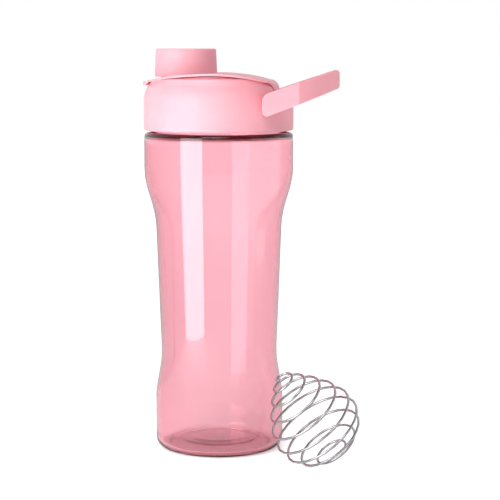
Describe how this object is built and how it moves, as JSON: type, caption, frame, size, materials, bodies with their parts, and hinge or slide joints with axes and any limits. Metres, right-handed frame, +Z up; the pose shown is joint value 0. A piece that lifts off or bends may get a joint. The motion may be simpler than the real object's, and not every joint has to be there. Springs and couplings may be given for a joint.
{
  "type": "protein shaker bottle",
  "caption": "Clear pink shaker bottle with side grips, a screw lid, a flip cap over the spout, a tilting carry loop and a loose wire whisk ball.",
  "frame": {"origin": "centre of the foot ring on the table, on the bottle's axis", "axes": "+Z up along the bottle's axis, +X towards the carry loop, -X towards the spout"},
  "size_m": [0.13, 0.1169, 0.2407],
  "materials": {
    "clear_pink": "clear, glossy",
    "pale_pink": "satin",
    "white_silicone": "soft",
    "steel_pin": "plain",
    "steel_wire": "polished"
  },
  "bodies": {
    "bottle": {"bottle_body": "clear_pink"},
    "sealing_ring": {"lid_gasket": "white_silicone"},
    "screw_lid": {"lid": "pale_pink", "flip_hinge_pin": "steel_pin"},
    "cap": {"flip_cap": "pale_pink", "spout_seal": "white_silicone"},
    "loop": {"carry_loop": "pale_pink"},
    "ball": {"whisk_ball": "steel_wire"}
  },
  "joints": [
    {"name": "lid_lift", "type": "slide", "parent": "bottle", "child": "sealing_ring", "axis": [0, 0, 1], "range_m": [0, 0.016]},
    {"name": "lid_twist", "type": "hinge", "parent": "sealing_ring", "child": "screw_lid", "pos_m": [0, 0, 0.2], "axis": [0, 0, 1], "range_deg": [0, 720]},
    {"name": "flip_cap_hinge", "type": "hinge", "parent": "screw_lid", "child": "cap", "pos_m": [0.0292, 0, 0.21601], "axis": [0, 1, 0], "range_deg": [0, 105]},
    {"name": "loop_pivot", "type": "hinge", "parent": "screw_lid", "child": "loop", "pos_m": [0.0336, 0, 0.2094], "axis": [0, 1, 0], "range_deg": [-15, 78]},
    {"name": "ball_lift", "type": "slide", "parent": "bottle", "child": "ball", "axis": [0, 0, 1], "range_m": [0, 0.05]}
  ],
  "couplings": [
    {"joint": "lid_lift", "follows": "lid_twist", "m_per_rad": 0.00127}
  ]
}
